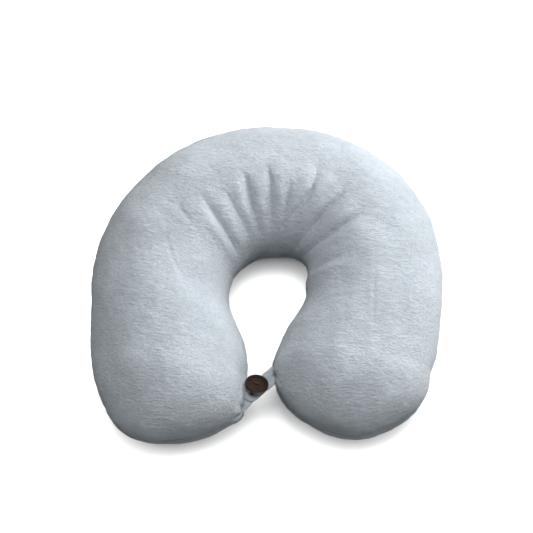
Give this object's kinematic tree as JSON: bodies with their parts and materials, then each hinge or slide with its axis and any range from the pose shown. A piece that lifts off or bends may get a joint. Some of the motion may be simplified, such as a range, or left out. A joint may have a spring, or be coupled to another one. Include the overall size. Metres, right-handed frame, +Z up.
{
  "type": "u shaped neck pillow",
  "caption": "U shaped travel neck pillow in plush: a zipped cover over a fibre filled bag, with arms that spread and a button and loop closure in front.",
  "frame": {"origin": "on the surface that the pillow lies on, under the middle of its bounding box", "axes": "+Z up; +Y towards the closed back of the U; the two lobes point to -Y; +X to the right when seen from the lobes"},
  "size_m": [0.3121, 0.3077, 0.0986],
  "materials": {
    "plush": "short pile plush with a soft sheen",
    "lining": "plain woven",
    "fibre": "fibre fill",
    "zip_tape": "woven tape",
    "zip_coil": "satin",
    "zip_metal": "satin enamel",
    "thread": "waxed thread",
    "button_wood": "polished"
  },
  "bodies": {
    "back": {"cover_top_back": "plush", "cover_bottom_back": "plush", "bag_top_back": "lining", "bag_bottom_back": "lining", "filling_back": "fibre", "zip_tape_upper": "zip_tape", "zip_tape_lower": "zip_tape", "zip_teeth_upper": "zip_coil", "zip_teeth_lower": "zip_coil", "zip_top_stop": "zip_metal", "zip_bottom_stop": "zip_metal"},
    "left_arm": {"cover_top_left_arm": "plush", "cover_bottom_left_arm": "plush", "bag_top_left_arm": "lining", "bag_bottom_left_arm": "lining", "filling_left_arm": "fibre", "button_tab": "plush"},
    "right_arm": {"cover_top_right_arm": "plush", "cover_bottom_right_arm": "plush", "bag_top_right_arm": "lining", "bag_bottom_right_arm": "lining", "filling_right_arm": "fibre"},
    "zip_slider": {"zip_slider": "zip_metal"},
    "zip_pull": {"zip_pull": "zip_metal"},
    "button": {"button": "button_wood", "button_thread": "thread"},
    "closure_loop": {"closure_loop": "plush"}
  },
  "joints": [
    {"name": "left_arm_spread", "type": "hinge", "parent": "back", "child": "left_arm", "pos_m": [-0.1565, -0.002, 0.0475], "axis": [0, 0, -1], "range_deg": [0, 20], "stiffness_Nm_per_rad": 2},
    {"name": "right_arm_spread", "type": "hinge", "parent": "back", "child": "right_arm", "pos_m": [0.1565, -0.002, 0.0475], "axis": [0, 0, 1], "range_deg": [0, 20], "stiffness_Nm_per_rad": 2},
    {"name": "zip_slide", "type": "hinge", "parent": "back", "child": "zip_slider", "pos_m": [0, -0.002, 0.0475], "axis": [0, 0, 1], "range_deg": [0, 67]},
    {"name": "zip_pull_swing", "type": "hinge", "parent": "zip_slider", "child": "zip_pull", "pos_m": [0.08728, 0.12766, 0.0475], "axis": [0, 0, -1], "range_deg": [0, 150]},
    {"name": "button_tilt", "type": "hinge", "parent": "left_arm", "child": "button", "pos_m": [-0.0018, -0.1056, 0.0508], "axis": [0.9781, -0.2079, 0], "range_deg": [0, 24]},
    {"name": "loop_lift", "type": "hinge", "parent": "right_arm", "child": "closure_loop", "pos_m": [0.01105, -0.09229, 0.0511], "axis": [-0.7193, 0.6947, 0], "range_deg": [0, 80], "deforming": ["closure_loop"]}
  ]
}
